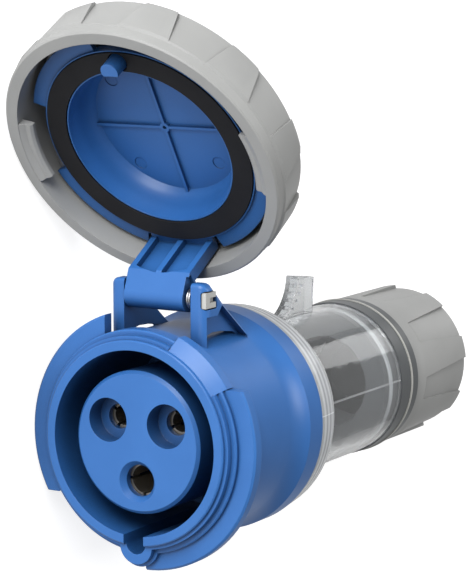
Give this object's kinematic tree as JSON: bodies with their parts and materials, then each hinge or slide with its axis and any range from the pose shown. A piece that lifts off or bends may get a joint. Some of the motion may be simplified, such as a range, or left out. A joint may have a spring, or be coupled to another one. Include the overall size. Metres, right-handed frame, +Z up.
{
  "type": "cee socket",
  "caption": "Trailing cee coupler socket lying on its side, lid open, with a turning bayonet ring, clear rear housing and a gland nut.",
  "frame": {"origin": "centre of the mouth's rim plane on the plug's axis", "axes": "-Y nearly out of the mouth, +Y to the cable end, -X nearly towards the lid's hinge, +Z up from the floor it lies on"},
  "size_m": [0.1386, 0.1592, 0.0748],
  "materials": {
    "blue_plastic": "satin",
    "grey_plastic": "satin",
    "light_plastic": "satin",
    "clear_plastic": "gloss",
    "black_rubber": "matte",
    "pale_silicone": "matte",
    "brass": "satin",
    "steel": "satin"
  },
  "bodies": {
    "socket": {"front_housing": "blue_plastic", "contact_insert": "blue_plastic", "contact_retainer": "grey_plastic", "line_contact": "brass", "neutral_contact": "brass", "earth_contact": "brass", "contact_springs": "steel", "terminal_screws": "steel", "retainer_screw": "steel", "insert_screws": "steel", "housing_seal": "pale_silicone", "rear_housing": "clear_plastic", "gland_collar": "grey_plastic", "collar_ring": "light_plastic", "collar_seal": "pale_silicone", "clamp_cage": "grey_plastic", "gland_seal": "black_rubber", "hinge_pin": "light_plastic", "hinge_spring": "steel"},
    "lid": {"lid": "blue_plastic", "lid_gasket": "black_rubber", "wave_spring": "steel"},
    "washer": {"thrust_washer": "steel"},
    "ring": {"bayonet_ring": "grey_plastic"},
    "gland_slip_ring": {"slip_ring": "grey_plastic"},
    "nut": {"gland_nut": "grey_plastic"}
  },
  "joints": [
    {"name": "lid_hinge", "type": "hinge", "parent": "socket", "child": "lid", "pos_m": [-0.03429, 0.01417, 0.00155], "axis": [0.0786, 0.0816, 0.9936], "range_deg": [0, 148], "deforming": ["hinge_spring"]},
    {"name": "ring_slide", "type": "slide", "parent": "lid", "child": "washer", "axis": [0.5283, -0.8486, 0.0279], "range_m": [0, 0.0052], "stiffness_N_per_m": 300, "deforming": ["wave_spring"]},
    {"name": "ring_turn", "type": "hinge", "parent": "washer", "child": "ring", "pos_m": [-0.07077, 0.00808, 0.00494], "axis": [-0.5283, 0.8486, -0.0279], "range_deg": [0, 48]},
    {"name": "slip_travel", "type": "slide", "parent": "socket", "child": "gland_slip_ring", "axis": [0, 0.9966, -0.0819], "range_m": [0, 0.006]},
    {"name": "nut_turn", "type": "hinge", "parent": "gland_slip_ring", "child": "nut", "pos_m": [0, 0.12657, -0.0104], "axis": [0, 0.9966, -0.0819], "range_deg": [0, 721]}
  ],
  "couplings": [
    {"joint": "nut_turn", "follows": "slip_travel", "rad_per_m": 2094.4}
  ]
}
